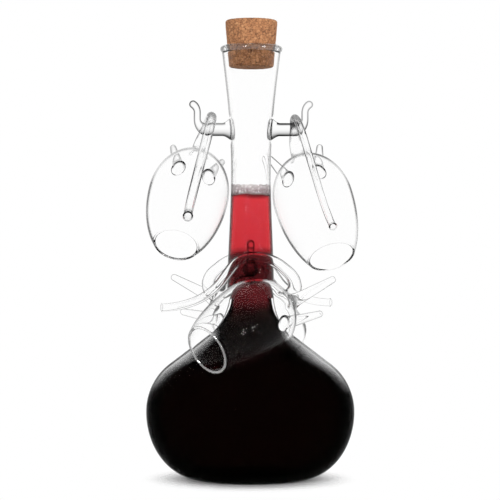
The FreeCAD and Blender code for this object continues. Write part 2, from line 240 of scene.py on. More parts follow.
# Clear glass with a dark line painted along its outline: painted shade that stands in for the dark
# surroundings
# thin glass bends into view at its edges before a bright backdrop. The line has one real width on every
# piece:
# the cosine where it starts is sqrt(2q - q^2), where q is the width over the piece's own radius. Noise makes
# the line stronger and weaker along its way.
def glassEdgeGroup():
    group = bpy.data.node_groups.new("glassEdge", "ShaderNodeTree")
    wanted = (
        ("Facing", "NodeSocketFloat", 0.0),
        ("Radius", "NodeSocketFloat", 10.0),
        ("Line Width", "NodeSocketFloat", 1.0),
        ("Clear Colour", "NodeSocketColor", grey(0.99)),
        ("Line Colour", "NodeSocketColor", grey(0.2)),
        ("Streak", "NodeSocketFloat", 0.5),
        ("Shade", "NodeSocketFloat", 0.0),
    )
    for name, kind, value in wanted:
        group.interface.new_socket(name, in_out="INPUT", socket_type=kind).default_value = value
    group.interface.new_socket("Colour", in_out="OUTPUT", socket_type="NodeSocketColor")
    group.interface.new_socket("Height", in_out="OUTPUT", socket_type="NodeSocketFloat")
    group.interface.new_socket("Line", in_out="OUTPUT", socket_type="NodeSocketFloat")
    given = addNode(group, "NodeGroupInput").outputs
    place = objectPlace(group)
    ratio = addMath(group, "DIVIDE", given["Line Width"], given["Radius"])
    held = addMath(group, "MINIMUM", ratio, 0.8)
    square = addMath(group, "MULTIPLY", held, held)
    doubled = addMath(group, "MULTIPLY", held, 2.0)
    reach = addMath(group, "SQRT", addMath(group, "SUBTRACT", doubled, square))
    start = addMath(group, "SUBTRACT", 1.0, reach)
    full = addMath(group, "MULTIPLY_ADD", reach, -0.62, 1.0)
    noise = addNoise(group, place, 40.0, 0.0)
    line = addSmooth(group, given["Facing"], start, full)
    swing = addMath(group, "MULTIPLY", addMath(group, "SUBTRACT", noise, 0.5), given["Streak"])
    gain = addMath(group, "MULTIPLY_ADD", swing, 3.0, 0.85)
    shaded = addMath(group, "MAXIMUM", addMath(group, "MULTIPLY", line, gain), given["Shade"])
    factor = addNode(group, "ShaderNodeClamp", {"Value": shaded}).outputs[0]
    colour = addMix(group, factor, given["Clear Colour"], given["Line Colour"])
    ripple = addNoise(group, place, 90.0, 1.0)
    addNode(group, "NodeGroupOutput", {"Colour": colour, "Height": ripple, "Line": line})
    return group


edgeGroup = glassEdgeGroup()
noLine = 1e5  # a radius so large that its line is too thin to show


# Blown clear glass. Its pieces carry ringRadius, the radius in millimetres at each place, which is
# noLine where the surface draws no painted line of its own, paintedShade, painted shade on the rods'
# undersides, the pegs' roots and the straws' tips, and, with a glint, rimGlint, which makes a rim shine.
# The light that lands on cork and foam passes without a line.
def clearGlass(
    name, ior, shine, lineWidth, lineShade, clearShade=0.995, streak=0.3, ripple=0.02, coat=0.0, glint=0.0,
):
    material, tree, shader = newMaterial(name)
    diffuse = addNode(tree, "ShaderNodeLightPath").outputs["Is Diffuse Ray"]
    facing = addMath(tree, "MULTIPLY", addFacing(tree), addMath(tree, "SUBTRACT", 1.0, diffuse))
    edge = addNode(tree, "ShaderNodeGroup", {
        "Facing": facing, "Radius": addAttribute(tree, "ringRadius"), "Line Width": lineWidth,
        "Streak": streak, "Shade": addAttribute(tree, "paintedShade"), "Clear Colour": grey(clearShade),
        "Line Colour": grey(lineShade),
    }, node_tree=edgeGroup)
    tree.links.new(edge.outputs["Colour"], shader.inputs["Base Color"])
    addBump(tree, shader, edge.outputs["Height"], ripple, 0.002)
    shader.inputs["Roughness"].default_value = 0.0
    shader.inputs["IOR"].default_value = ior
    shader.inputs["Specular Tint"].default_value = grey(shine)
    shader.inputs["Transmission Weight"].default_value = 1.0
    shader.inputs["Coat Weight"].default_value = coat
    if glint:
        line = addMath(tree, "MULTIPLY", edge.outputs["Line"], glint)
        lit = addMath(tree, "MAXIMUM", line, addAttribute(tree, "rimGlint"))
        tree.links.new(lit, shader.inputs["Coat Weight"])
        shader.inputs["Coat IOR"].default_value = 3.0
    shader.inputs["Coat Roughness"].default_value = 0.0
    return material


# A piece gets its material and the body it rides on, and the nodes it stands for are hidden.
def dress(piece, material, slotName, body, *nodes):
    piece.data.materials.append(material)
    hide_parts(*nodes)
    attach(piece, body)


# Decanter: outline, glass, wine, foam and cork
vessel = dict(
    footRadius=31.0, puntDepth=4.0, bellyRadius=63.75, bellyHeight=41.0, shoulderRadius=36.5,
    shoulderSlope=37.2, sweepRadius=30.0, neckRadius=14.4, waistRadius=12.2, waistHeight=186.0,
    throatRadius=14.3, throatHeight=229.0, mouthRadius=18.0, mouthHeight=261.0, wall=2.0,
    baseThickness=3.2, beadRadius=2.1, sides=192,
)

hook = dict(
    upperHeight=213.6, lowerHeight=128.0, upperRoot=8.5, lowerRoot=5.5, rootStart=9.4, rootEnd=18.0,
    reach=33.0, rodRadius=4.0, uprightRadius=2.15, ballRadius=2.4, bendRadius=6.5, rise=15.4,
    tipRadius=6.0, tipTurn=55.0, sunk=0.5, weldMargin=0.3, sides=64,
    bareShare=0.4, faintShare=0.75, faintRing=30.0, leastRing=3.3,  # the outline's line along the root
    underGain=1.6, underWidth=0.85, underShade=0.94, underReach=0.62, underFade=6.0,  # shade below the rod
)


# The cubic spline through the points, with set slopes at both ends. The slopes between come from
# equal second derivatives on both sides of each point.
def clampedSpline(at, heights, radii, startSlope, endSlope):
    gap, rise = np.diff(heights), np.diff(radii)
    system, wanted = np.eye(len(heights)), np.zeros(len(heights))
    wanted[0], wanted[-1] = startSlope, endSlope
    for k in range(1, len(heights) - 1):
        system[k, k - 1:k + 2] = 1 / gap[k - 1], 2 / gap[k - 1] + 2 / gap[k], 1 / gap[k]
        wanted[k] = 3 * (rise[k - 1] / gap[k - 1] ** 2 + rise[k] / gap[k] ** 2)
    slopes = np.linalg.solve(system, wanted)
    k = np.clip(np.searchsorted(heights, at) - 1, 0, len(gap) - 1)
    t = (at - heights[k]) / gap[k]
    return (
        radii[k] * (1 + 2 * t) * (1 - t) ** 2 + radii[k + 1] * t * t * (3 - 2 * t)
        + gap[k] * (slopes[k] * t * (1 - t) ** 2 - slopes[k + 1] * t * t * (1 - t))
    )


heelRows = 70  # rows of the outline from the foot to the widest place
neckRow = 167  # the row of the outline where the neck starts
domeRows = 24


# Radius and height from the floor to the mouth, moved in by inset: a quarter ellipse, an arc, a
# straight slope, an arc the other way, and a spline up the neck.
def vesselOutline(inset, floor):
    v = vessel
    slope = math.radians(v["shoulderSlope"])
    out, up = math.sin(slope), math.cos(slope)
    t = np.linspace(0, np.pi / 2, heelRows)
    heel = np.stack([
        v["footRadius"] + (v["bellyRadius"] - inset - v["footRadius"]) * np.sin(t),
        v["bellyHeight"] - (v["bellyHeight"] - floor) * np.cos(t),
    ], -1)
    centre = np.array([v["bellyRadius"] - v["shoulderRadius"], v["bellyHeight"]])
    both = v["shoulderRadius"] + v["sweepRadius"]
    straight = (centre[0] + both * out - v["neckRadius"] - v["sweepRadius"]) / up
    sweepAt = centre + np.array([both * out - straight * up, both * up + straight * out])
    t = np.linspace(0, np.pi / 2 - slope, 50)[1:]
    shoulder = centre + (v["shoulderRadius"] - inset) * np.stack([np.cos(t), np.sin(t)], -1)
    t = t[::-1]
    sweep = sweepAt - (v["sweepRadius"] + inset) * np.stack([np.cos(t), np.sin(t)], -1)
    neckStart = sweepAt[1]
    heights = np.array([neckStart, v["waistHeight"], v["throatHeight"], v["mouthHeight"]])
    radii = np.array([v["neckRadius"], v["waistRadius"], v["throatRadius"], v["mouthRadius"]]) - inset
    flare = (v["mouthRadius"] - v["throatRadius"]) / (v["mouthHeight"] - v["throatHeight"])
    at = np.linspace(neckStart, v["mouthHeight"], 110)
    neck = np.stack([clampedSpline(at, heights, radii, 0, flare), at], -1)
    return np.vstack([heel, shoulder, sweep, neck])


# A shallow cap of a sphere from near the axis to its edge.
def domeProfile(radius, height, lift):
    ball = (radius**2 + height**2) / (2 * height)
    t = np.linspace(0.02, math.asin(radius / ball), domeRows)
    return np.stack([ball * np.sin(t), lift + height - ball + ball * np.cos(t)], -1)


# The outline outside and inside, turned about the axis: a closed body with its floor, and a neck open at
# both ends. The inside and the welds under the upper hooks draw no line.
def makeDecanterGlass():
    v = vessel
    punt = v["footRadius"] - v["baseThickness"]
    outside, inside = vesselOutline(0, 0), vesselOutline(v["wall"], v["baseThickness"])
    body = np.vstack([
        domeProfile(punt, v["puntDepth"], 0), outside[:neckRow + 1], inside[neckRow::-1],
        domeProfile(punt, v["puntDepth"], v["baseThickness"])[::-1],
    ])
    neck = np.vstack([outside[neckRow:], inside[:neckRow - 1:-1]])
    for name, profile, outer, material, nodes in (
        ("decanterBody", body, domeRows + neckRow + 1, bodyGlass, ["decanter_body"]),
        ("decanterNeck", neck, len(outside) - neckRow, neckGlass, ["decanter_neck", "decanter_mouth"]),
    ):
        radius = roundRings(profile[:, 0], v["sides"])
        radius[outer:] = noLine
        rings = spunRings(profile, v["sides"])
        fromHook = np.hypot(rings[..., 1], rings[..., 2] - hook["upperHeight"])
        radius[fromHook < hook["upperRoot"] - hook["weldMargin"]] = noLine
        piece = ringMesh(name, rings, loop=name == "decanterNeck", attributes={"ringRadius": radius})
        dress(piece, material, "clear_glass", "decanter", *nodes)


# The bead on the rim is a circle turned about the axis, flat below, where it sits on the wall. It draws
# its line only at its two sides.
def makeLipRing():
    v = vessel
    half = v["wall"] / 2
    dip = math.acos(half / v["beadRadius"])
    t = np.linspace(-dip, math.pi + dip, 48)
    middle = np.array([v["mouthRadius"] - half, v["mouthHeight"] + math.sqrt(v["beadRadius"] ** 2 - half**2)])
    profile = middle + v["beadRadius"] * np.stack([np.cos(t), np.sin(t)], -1)
    rings = spunRings(profile, v["sides"])
    ends = np.abs(np.cos(ringAngles(v["sides"]))) > 0.86
    radius = np.broadcast_to(np.where(ends, v["beadRadius"], noLine), rings.shape[:2])
    piece = ringMesh("lipRing", rings, loop=True, attributes={"ringRadius": radius})
    dress(piece, lipGlass, "clear_glass", "decanter", "lip_ring")


bodyGlass = clearGlass("bodyGlass", ior=1.015, shine=0.3, lineWidth=1.2, lineShade=0.01, ripple=0.0)
neckGlass = clearGlass(
    "neckGlass", ior=1.25, shine=0.08, lineWidth=1.9, lineShade=0.004, streak=0.15, ripple=0.005,
)
lipGlass = clearGlass("lipGlass", ior=1.05, shine=1.0, lineWidth=1.0, lineShade=0.02, ripple=0.0, coat=1.0)
makeDecanterGlass()
makeLipRing()
print("decanter glass made")

drink = dict(
    overlap=0.15, bodyOverlap=1.2, bodyTop=92.0, bodyFade=16.0, floor=0.7, height=173.5, wave=0.35,
    waveDepth=6.0, sides=192,
)
foam = dict(height=6.6, dip=1.4, bubble=1.4, bubbleWidth=0.75, bubbleLift=0.75, gapWidth=0.35)


# The edge rises and falls a little round the glass: two sines, of three and of seven waves to a turn.
def surfaceWave(angle):
    return drink["wave"] * (np.sin(3 * angle + 0.6) + 0.6 * np.sin(7 * angle + 2.0)) / 1.6


# The vessel's inside, turned about the axis. The wine reaches into the wall, by more in the body than in
# the neck, so that no film of air shows between them.
def makeWine():
    v = vessel
    floor = drink["floor"]
    below = vesselOutline(v["wall"] - drink["bodyOverlap"], floor)
    above = vesselOutline(v["wall"] - drink["overlap"], floor)
    outline = below + (above - below) * smooth((above[:, 1:] - drink["bodyTop"]) / drink["bodyFade"])
    low = outline[outline[:, 1] < drink["height"] - 1]
    edge = np.interp(drink["height"], outline[heelRows:, 1], outline[heelRows:, 0])
    top = np.stack([edge * np.array([1, 0.98, 0.9, 0.7, 0.4, 0.1]), np.full(6, drink["height"])], -1)
    dome = domeProfile(v["footRadius"] - v["baseThickness"], v["puntDepth"], floor)
    profile = np.vstack([dome, low, top])
    rings = spunRings(profile, drink["sides"])
    nearTop = smooth((profile[:, 1] - drink["height"] + drink["waveDepth"]) / drink["waveDepth"])
    lift = nearTop[:, None] * surfaceWave(ringAngles(drink["sides"]))
    rings[:, :, 2] += lift * smooth(profile[:, :1] / edge)
    piece = ringMesh("portWine", rings)
    dress(piece, wineMaterial(), "port", "decanter", "port_wine")


# Port seen against the light. Its red, set by height, is partly its own colour, darker where it is deep,
# and partly painted light and shade: bright red in the thin neck, dark where the glass widens, with painted
# dark bands. Painted shade darkens its sides, and a painted reflection makes a pale glow along the shoulder's
# edge.
def wineMaterial():
    material, tree, shader = newMaterial("portRed")
    place = objectPlace(tree)
    height = addNode(tree, "ShaderNodeSeparateXYZ", {0: place}).outputs["Z"]
    cloud = addNoise(tree, place, 70.0, 2.0)
    shifted = addMath(tree, "MULTIPLY_ADD", addMath(tree, "SUBTRACT", cloud, 0.5), 0.006, height)
    share = addNode(
        tree, "ShaderNodeMapRange", {"Value": shifted, "From Min": 0.095, "From Max": 0.175}
    ).outputs["Result"]
    # The wine's red with painted light and shade by height: bright in the neck, dark bands and a dark belly.
    paintedLightRed = addRamp(tree, share, (
        (0.00, (0.0022, 0.0006, 0.0006, 1)), (0.10, (0.012, 0.0015, 0.0018, 1)),
        (0.17, (0.085, 0.009, 0.011, 1)), (0.30, (0.10, 0.010, 0.012, 1)),
        (0.36, (0.05, 0.006, 0.007, 1)), (0.52, (0.09, 0.008, 0.010, 1)),
        (0.58, (0.57, 0.030, 0.040, 1)), (0.95, (0.66, 0.040, 0.052, 1)), (0.985, (0.10, 0.012, 0.014, 1)),
    ))
    facing = addFacing(tree)
    # Painted shade: darker towards the sides, where the surface turns away.
    sides = addSmooth(tree, facing, 0.36, 0.58)
    colour = addMix(tree, sides, paintedLightRed, (0.02, 0.002, 0.004, 1), "MULTIPLY")
    # Painted reflection: a pale glow of the backdrop along the shoulder's edge.
    reflectionFacing = addSmooth(tree, facing, 0.52, 0.93)
    aboveBelly = addSmooth(tree, height, 0.050, 0.072)
    belowNeck = addSmooth(tree, height, 0.092, 0.086)
    paintedReflection = addMath(tree, "MULTIPLY", addMath(tree, "MULTIPLY", reflectionFacing, aboveBelly), belowNeck)
    colour = addMix(tree, paintedReflection, colour, grey(0.9))
    tree.links.new(colour, shader.inputs["Base Color"])
    shader.inputs["Roughness"].default_value = 0.0
    shader.inputs["IOR"].default_value = 1.01
    shader.inputs["Transmission Weight"].default_value = 1.0
    return material


makeWine()
print("wine poured")


# Grey-white bubbles of random tone. The gaps between the domes are painted darker, partly as wine and partly
# as painted shade between them, and the foam darkens towards its bottom edge.
def foamMaterial():
    material, tree, shader = newMaterial("foamBubbles")
    place = objectPlace(tree)
    fine = addNoise(tree, place, 900.0, 3.0)
    body = addMix(tree, addAttribute(tree, "bubbleTone"), (0.30, 0.19, 0.20, 1), (0.90, 0.84, 0.84, 1))
    # The gaps: wine colour with painted shade between the domes.
    edged = addMix(tree, addAttribute(tree, "bubbleGap"), body, (0.14, 0.05, 0.06, 1))
    height = addNode(tree, "ShaderNodeSeparateXYZ", {0: place}).outputs["Z"]
    pale = addSmooth(tree, height, 0.1755, 0.1792)
    lower = addSmooth(tree, height, 0.1752, 0.1738)
    frothy = addMix(tree, addMath(tree, "MULTIPLY", pale, 0.45), edged, (0.86, 0.82, 0.82, 1))
    sunk = addMix(tree, lower, frothy, (0.10, 0.03, 0.035, 1))
    colour = addMix(tree, addMath(tree, "MULTIPLY", fine, 0.3), sunk, grey(0.8))
    tree.links.new(colour, shader.inputs["Base Color"])
    tree.links.new(addMath(tree, "MULTIPLY_ADD", fine, 0.3, 0.12), shader.inputs["Roughness"])
    addBump(tree, shader, fine, 0.3, 0.0003)
    return material


# A plug with a dished top of small domes: the surface rises by sqrt(1 - d^2) of the distance to the
# nearest bubble's middle.
def makeFoam():
    v = vessel
    outline = vesselOutline(v["wall"] - drink["overlap"], 0)[heelRows:]
    base, top = drink["height"] + 0.02, drink["height"] + foam["height"]
    heights = np.linspace(base, top - 0.8, 14)
    side = np.stack([np.interp(heights, outline[:, 1], outline[:, 0]), heights], -1)
    edge = side[-1, 0]
    share = np.linspace(1, 0.02, 40)
    cap = np.stack([edge * share * 0.995, top - 0.5 - foam["dip"] * (1 - share**2)], -1)
    floor = np.stack([side[0, 0] * np.array([0.02, 0.5, 0.99]), np.full(3, base)], -1)
    profile = np.vstack([floor, side, cap])
    rings = spunRings(profile, drink["sides"])
    low = 1 - smooth((profile[:, 1] - base) / 3)
    wave = surfaceWave(ringAngles(drink["sides"]))
    rings[:, :, 2] += low[:, None] * wave * smooth(profile[:, :1] / edge)
    flat = rings.reshape(-1, 3)
    nearest, second, tone = cellNoise(flat + 7, foam["bubble"], 3.0)
    domes = np.sqrt(np.clip(1 - (nearest / foam["bubbleWidth"]) ** 2, 0, 1)).reshape(rings.shape[:2])
    onTop = smooth((profile[:, 1] - top + 2.2) / 0.6)[:, None]
    rings[:, :, 2] += (domes - 0.5) * foam["bubbleLift"] * onTop
    gap = 1 - smooth((second - nearest) / foam["gapWidth"])
    piece = ringMesh("wineFoam", rings, attributes={"bubbleGap": gap, "bubbleTone": tone})
    dress(piece, foamMaterial(), "foam", "decanter", "wine_foam")


makeFoam()
print("foam made")

cork = dict(
    height=29.05, bottom=251.55, topRadius=16.04, bottomRadius=13.84, edge=1.6, sides=300,
    grain=1.7, pit=0.30, seamWidth=0.16, seamDepth=0.55, unevenness=0.12,
    poreSpacing=2.4, pore=0.8, poreWidth=0.42, poreDepth=1.6, poreChance=0.72,
)


# Pressed cork granules: each has its own brown, with dark pores and pale flecks.
def corkMaterial():
    material, tree, shader = newMaterial("pressedCork")
    place = objectPlace(tree)
    fine = addNoise(tree, place, 1100.0, 5.0, roughness=0.7)
    layered = addNode(
        tree, "ShaderNodeVectorMath", {0: place, 1: (1.0, 1.0, 2.6)}, operation="MULTIPLY"
    ).outputs[0]
    specks = addNode(tree, "ShaderNodeTexVoronoi", {"Vector": layered, "Scale": 330.0}).outputs["Distance"]
    brown = addRamp(tree, addAttribute(tree, "grainTone"), (
        (0.0, (0.13, 0.047, 0.020, 1)), (0.2, (0.25, 0.10, 0.040, 1)), (0.6, (0.34, 0.148, 0.062, 1)),
        (1.0, (0.48, 0.245, 0.115, 1)),
    ))
    mottled = addMix(tree, addNoise(tree, place, 260.0, 3.0), brown, (0.37, 0.17, 0.074, 1))
    grainy = addMix(tree, addMath(tree, "MULTIPLY", fine, 0.4), mottled, (0.20, 0.085, 0.038, 1))
    darkSpeck = addNode(tree, "ShaderNodeMapRange", {
        "Value": specks, "From Min": 0.16, "From Max": 0.27, "To Min": 0.7, "To Max": 0.0,
    }).outputs["Result"]
    speckled = addMix(tree, darkSpeck, grainy, (0.055, 0.02, 0.01, 1))
    colour = addMix(tree, addAttribute(tree, "grainSeam"), speckled, (0.07, 0.028, 0.014, 1))
    tree.links.new(colour, shader.inputs["Base Color"])
    tree.links.new(addMath(tree, "MULTIPLY_ADD", fine, 0.25, 0.7), shader.inputs["Roughness"])
    addBump(tree, shader, fine, 0.6, 0.0006)
    shader.inputs["Specular IOR Level"].default_value = 0.25
    return material


# A tapered plug with rounded edges, pushed in along the seams between its granules and at its pores.
def makeCork():
    c = cork
    bottom, top = c["bottom"], c["bottom"] + c["height"]
    t = np.linspace(0, np.pi / 2, 8)
    bottomEdge = np.stack([
        c["bottomRadius"] - c["edge"] + c["edge"] * np.sin(t), bottom + c["edge"] - c["edge"] * np.cos(t),
    ], -1)
    topEdge = np.stack([
        c["topRadius"] - c["edge"] + c["edge"] * np.cos(t), top - c["edge"] + c["edge"] * np.sin(t),
    ], -1)
    share = np.linspace(0, 1, 92)[1:-1, None]
    side = bottomEdge[-1] + (topEdge[0] - bottomEdge[-1]) * share
    bottomFace = np.stack([np.linspace(0.15, bottomEdge[0, 0], 34)[:-1], np.full(33, bottom)], -1)
    topFace = np.stack([np.linspace(topEdge[-1, 0], 0.15, 42)[1:], np.full(41, top)], -1)
    profile = np.vstack([bottomFace, bottomEdge, side, topEdge, topFace])
    rings = spunRings(profile, c["sides"])
    flat = rings.reshape(-1, 3)
    nearest, second, tone = cellNoise(flat + 50, c["grain"], 11.0)
    seam = 1 - smooth((second - nearest) / c["seamWidth"])
    holes, _, chance = cellNoise(flat + 90, c["pore"] * c["poreSpacing"], 5.0)
    pore = (1 - smooth(holes / c["poreWidth"])) * (chance > c["poreChance"])
    slope = np.gradient(profile, axis=0)
    outward = np.stack([slope[:, 1], -slope[:, 0]], -1)
    outward /= np.linalg.norm(outward, axis=1, keepdims=True)
    push = spunRings(outward, c["sides"])
    depth = c["pit"] * seam * c["seamDepth"] + c["pit"] * c["poreDepth"] * pore + c["unevenness"] * (1 - tone)
    rings = rings - push * depth.reshape(rings.shape[:2])[:, :, None]
    darks = np.clip(seam * 0.75 + pore, 0, 1)
    piece = ringMesh("corkStopper", rings, attributes={"grainTone": tone, "grainSeam": darks})
    dress(piece, corkMaterial(), "cork", "cork", "cork_stopper")


makeCork()
print("cork made")

# Hooks: a J of glass rod each
hooks = {
    "left": ((-1, 0, 0), hook["upperHeight"], hook["upperRoot"]),
    "right": ((1, 0, 0), hook["upperHeight"], hook["upperRoot"]),
    "front": ((0, -1, 0), hook["lowerHeight"], hook["lowerRoot"]),
    "back": ((0, 1, 0), hook["lowerHeight"], hook["lowerRoot"]),
}
zAxis = np.array([0.0, 0.0, 1.0])


# Circles along a run, a bend and a thin upright. The first ones are bent to lie on the neck: each
# point slides back along the rod to the glass, x = sqrt(R^2 - y^2), less a little.
def makeHook(name):
    h = hook
    direction, height, root = hooks[name]
    outline = vesselOutline(0, 0)[heelRows:]
    start = np.interp(height, outline[:, 1], outline[:, 0])
    straight = h["reach"] - h["bendRadius"] - start
    rise = h["rise"] - h["bendRadius"] - h["tipRadius"] * math.sin(math.radians(h["tipTurn"]))
    moves = [
        (straight, 0), (arcLength(h["bendRadius"], 90), 90), (rise, 0),
        (arcLength(h["tipRadius"], h["tipTurn"]), -h["tipTurn"]),
    ]
    x, y, heading, length = walkPath(start, 0, 0, moves, 0.4)
    thin = smooth((length - straight) / arcLength(h["bendRadius"], 90))
    radius = h["rodRadius"] + (h["uprightRadius"] - h["rodRadius"]) * thin
    share = (start + length - h["rootStart"]) / (h["rootEnd"] - h["rootStart"])
    radius += (root - h["rodRadius"]) * (1 - smooth(share))
    swell = smooth((length - length[-1] + 2 * h["ballRadius"]) / (1.6 * h["ballRadius"]))
    radius += (h["ballRadius"] - h["uprightRadius"]) * swell
    t = np.linspace(0, math.pi / 2 - 0.05, 12)[1:]
    capX = x[-1] + h["ballRadius"] * np.sin(t) * math.cos(heading[-1])
    capY = y[-1] + h["ballRadius"] * np.sin(t) * math.sin(heading[-1])
    x, y = np.concatenate([x, capX]), np.concatenate([y, capY])
    heading = np.concatenate([heading, np.full(len(t), heading[-1])])
    radius = np.concatenate([radius, h["ballRadius"] * np.cos(t)])
    length = np.concatenate([length, np.full(len(t), length[-1])])
    share = (start + length - h["rootStart"]) / (h["rootEnd"] - h["rootStart"])
    angle = ringAngles(h["sides"])
    across = radius[:, None] * np.cos(angle)
    above = radius[:, None] * np.sin(angle)
    out = x[:, None] - above * np.sin(heading)[:, None]
    up = y[:, None] + above * np.cos(heading)[:, None]
    neck = np.interp(height + up, outline[:, 1], outline[:, 0])
    slide = start - np.sqrt(np.clip(neck**2 - across**2, 1, None)) + h["sunk"]
    out = out - slide * (1 - smooth(length / (straight * 0.8)))[:, None]
    outAxis = np.array(direction, float)
    sideAxis = np.cross(zAxis, outAxis)
    rings = out[..., None] * outAxis + across[..., None] * sideAxis + (up + height)[..., None] * zAxis
    wide = np.maximum(radius, h["leastRing"])
    wide[share < h["faintShare"]] = h["faintRing"]
    wide[share < h["bareShare"]] = noLine
    # Painted shade: a dark band along the rod's underside, fading out near the root and in the bend.
    under = h["underGain"] * np.exp(-((angle - 1.5 * math.pi) / h["underWidth"]) ** 2)
    along = smooth((length[-1] * h["underReach"] - length) / h["underFade"]) * smooth(share / 0.5)
    paintedDark = np.clip(under, 0, h["underShade"]) * along[:, None]
    paintedDark[0] = 0  # the end inside the neck's wall
    piece = ringMesh(
        "hook" + name.capitalize(), rings,
        attributes={"ringRadius": roundRings(wide, h["sides"]), "paintedShade": paintedDark},
    )
    dress(piece, hookGlass, "clear_glass", "decanter", "hook_" + name)


hookGlass = clearGlass("hookGlass", ior=1.01, shine=1.0, lineWidth=2.0, lineShade=0.003)
for hookName in hooks:
    makeHook(hookName)
print("hooks made")

# Sippers: a blown cup whose base is drawn out into a bent straw, and two peg feet
sipper = dict(
    wall=1.4, spoutLength=4.0, spoutShoulder=12.0, strawWall=1.1, tipBendRadius=50.0, beadRadius=0.6,
    beadRise=0.4, footTurn=130.0, footRootOffset=13.5, footRoot=5.0, footPeg=3.9, footTipStation=47.5,
    footTipOffset=21.0, footTip=2.1, footSunk=0.4, seatGap=0.3, sides=96, footSides=48,
    tipThin=0.5, tipThinFrom=14.0, tipThinOver=12.0, tipShade=0.35,  # the wall near the straw's tip
    fineness=2.1, tipFineness=5.5, fineFrom=38.0, fineOver=36.0, rimRing=6.0,  # how fine the lines are
    footFlare=2.6, footLeastRing=2.0, crescentReach=1.8,
)
lowerSipper = dict(
    bowlRadius=23.7, baseLength=24.4, mouthLength=40.9, mouthRadius=15.2, spoutRadius=4.7,
    strawRadius=3.4, tipRadius=2.3, firstRadius=14.1, crossLength=4.0, secondRadius=19.7,
    runLength=14.6, station=20.3, side=-1, outDeg=40.5, dropDeg=25.5, rollDeg=46.5, seatDeg=66.7,
    leanDeg=17.9, tipBendDeg=51.8, rimGlint=1.0, rimSwell=0.25,
)
sippers = {
    "left": dict(
        bowlRadius=24.8, baseLength=33.8, mouthLength=41.0, mouthRadius=14.0, spoutRadius=5.4,
        strawRadius=3.3, tipRadius=2.65, firstRadius=6.6, crossLength=8.9, secondRadius=26.4,
        runLength=43.8, station=24.2, side=1, outDeg=13.6, dropDeg=47.4, rollDeg=-24.1,
        seatDeg=53.6, leanDeg=3.6, tipBendDeg=40.5, rimGlint=0.0, rimSwell=0.0,
    ),
    "right": dict(
        bowlRadius=24.6, baseLength=32.2, mouthLength=42.7, mouthRadius=14.7, spoutRadius=4.8,
        strawRadius=2.45, tipRadius=2.1, firstRadius=7.5, crossLength=11.4, secondRadius=26.6,
        runLength=32.2, station=26.4, side=-1, outDeg=23.5, dropDeg=53.1, rollDeg=23.4,
        seatDeg=27.4, leanDeg=9.6, tipBendDeg=40.0, rimGlint=0.0, rimSwell=0.0,
    ),
    "front": lowerSipper,
    "back": lowerSipper,
}


# Station and radius from the mouth to the spout: part of an ellipse out to the widest place, part
# of another back in, and a cubic that draws the base out.
def bowlOutline(cup, inset, spoutRadius):
    s = sipper
    widest, base = cup["bowlRadius"] - inset, cup["baseLength"] - inset
    shoulder = s["spoutShoulder"] - inset
    mouthTurn = math.asin((cup["mouthRadius"] - inset) / widest)
    baseTurn = math.asin(shoulder / widest)
    t = np.linspace(mouthTurn, math.pi / 2, 44)
    mouthPart = np.stack([cup["mouthLength"] * np.cos(t) / math.cos(mouthTurn), widest * np.sin(t)], -1)
    t = np.linspace(math.pi / 2, math.pi - baseTurn, 36)[1:]
    basePart = np.stack([base * np.cos(t), widest * np.sin(t)], -1)
    leave = basePart[-1]
    along = np.array([-base * math.sin(baseTurn), -widest * math.cos(baseTurn)])
    along /= np.linalg.norm(along)
    end = np.array([-cup["baseLength"] - s["spoutLength"], spoutRadius])
    reach = np.linalg.norm(leave - end) / 2
    t = np.linspace(0, 1, 26)[1:, None]
    spout = (
        (1 - t) ** 3 * leave + 3 * (1 - t) ** 2 * t * (leave + along * reach)
        + 3 * (1 - t) * t**2 * (end + np.array([reach, 0])) + t**3 * end
    )
    return np.vstack([mouthPart, basePart, spout])


# The straw's bends, whole or only as far as its seat on the hook.
def strawMoves(cup, toSeat=False):
    moves = [(arcLength(cup["firstRadius"], 90), -90), (cup["crossLength"], 0)]
    if toSeat:
        return moves + [(arcLength(cup["secondRadius"], cup["seatDeg"]), -cup["seatDeg"])]
    return moves + [
        (arcLength(cup["secondRadius"], 90 + cup["leanDeg"]), -90 - cup["leanDeg"]), (cup["runLength"], 0),
        (arcLength(sipper["tipBendRadius"], cup["tipBendDeg"]), cup["tipBendDeg"]),
    ]


# The straw narrows fast as far as its second bend, and slowly from there to its tip.
def strawRadius(cup, length):
    bend = sum(stretch for stretch, _ in strawMoves(cup)[:2])
    whole = sum(stretch for stretch, _ in strawMoves(cup))
    radii = [cup["spoutRadius"], cup["strawRadius"], cup["tipRadius"]]
    return np.interp(length, [0, bend, whole], radii)


# The sipper's three axes and its place: its straw lies over the hook's rod, clear by the seat's
# gap.
def hangingPlace(name, cup):
    s = sipper
    direction, height, _ = hooks[name]
    out = np.array(direction, float)
    side = np.cross(zAxis, out) * cup["side"]
    outTurn, drop, roll = (math.radians(cup[key]) for key in ("outDeg", "dropDeg", "rollDeg"))
    level = side * math.cos(outTurn) + out * math.sin(outTurn)
    mouth = level * math.cos(drop) - zAxis * math.sin(drop)
    rise = zAxis - mouth * (zAxis @ mouth)
    rise /= np.linalg.norm(rise)
    straw = rise * math.cos(roll) + np.cross(mouth, rise) * math.sin(roll)
    axes = np.stack([mouth, straw, np.cross(mouth, straw)])
    start = -cup["baseLength"] - s["spoutLength"]
    x, y, heading, length = walkPath(start, 0, 180, strawMoves(cup, toSeat=True))
    seat = np.array([x[-1], y[-1], 0]) @ axes
    ahead = np.array([math.cos(heading[-1]), math.sin(heading[-1]), 0]) @ axes
    lift = np.cross(ahead, out)
    lift *= math.copysign(1, lift[2]) / np.linalg.norm(lift)
    clear = hook["rodRadius"] + s["seatGap"] + strawRadius(cup, length[-1])
    return axes, out * cup["station"] + zAxis * height + lift * clear - seat


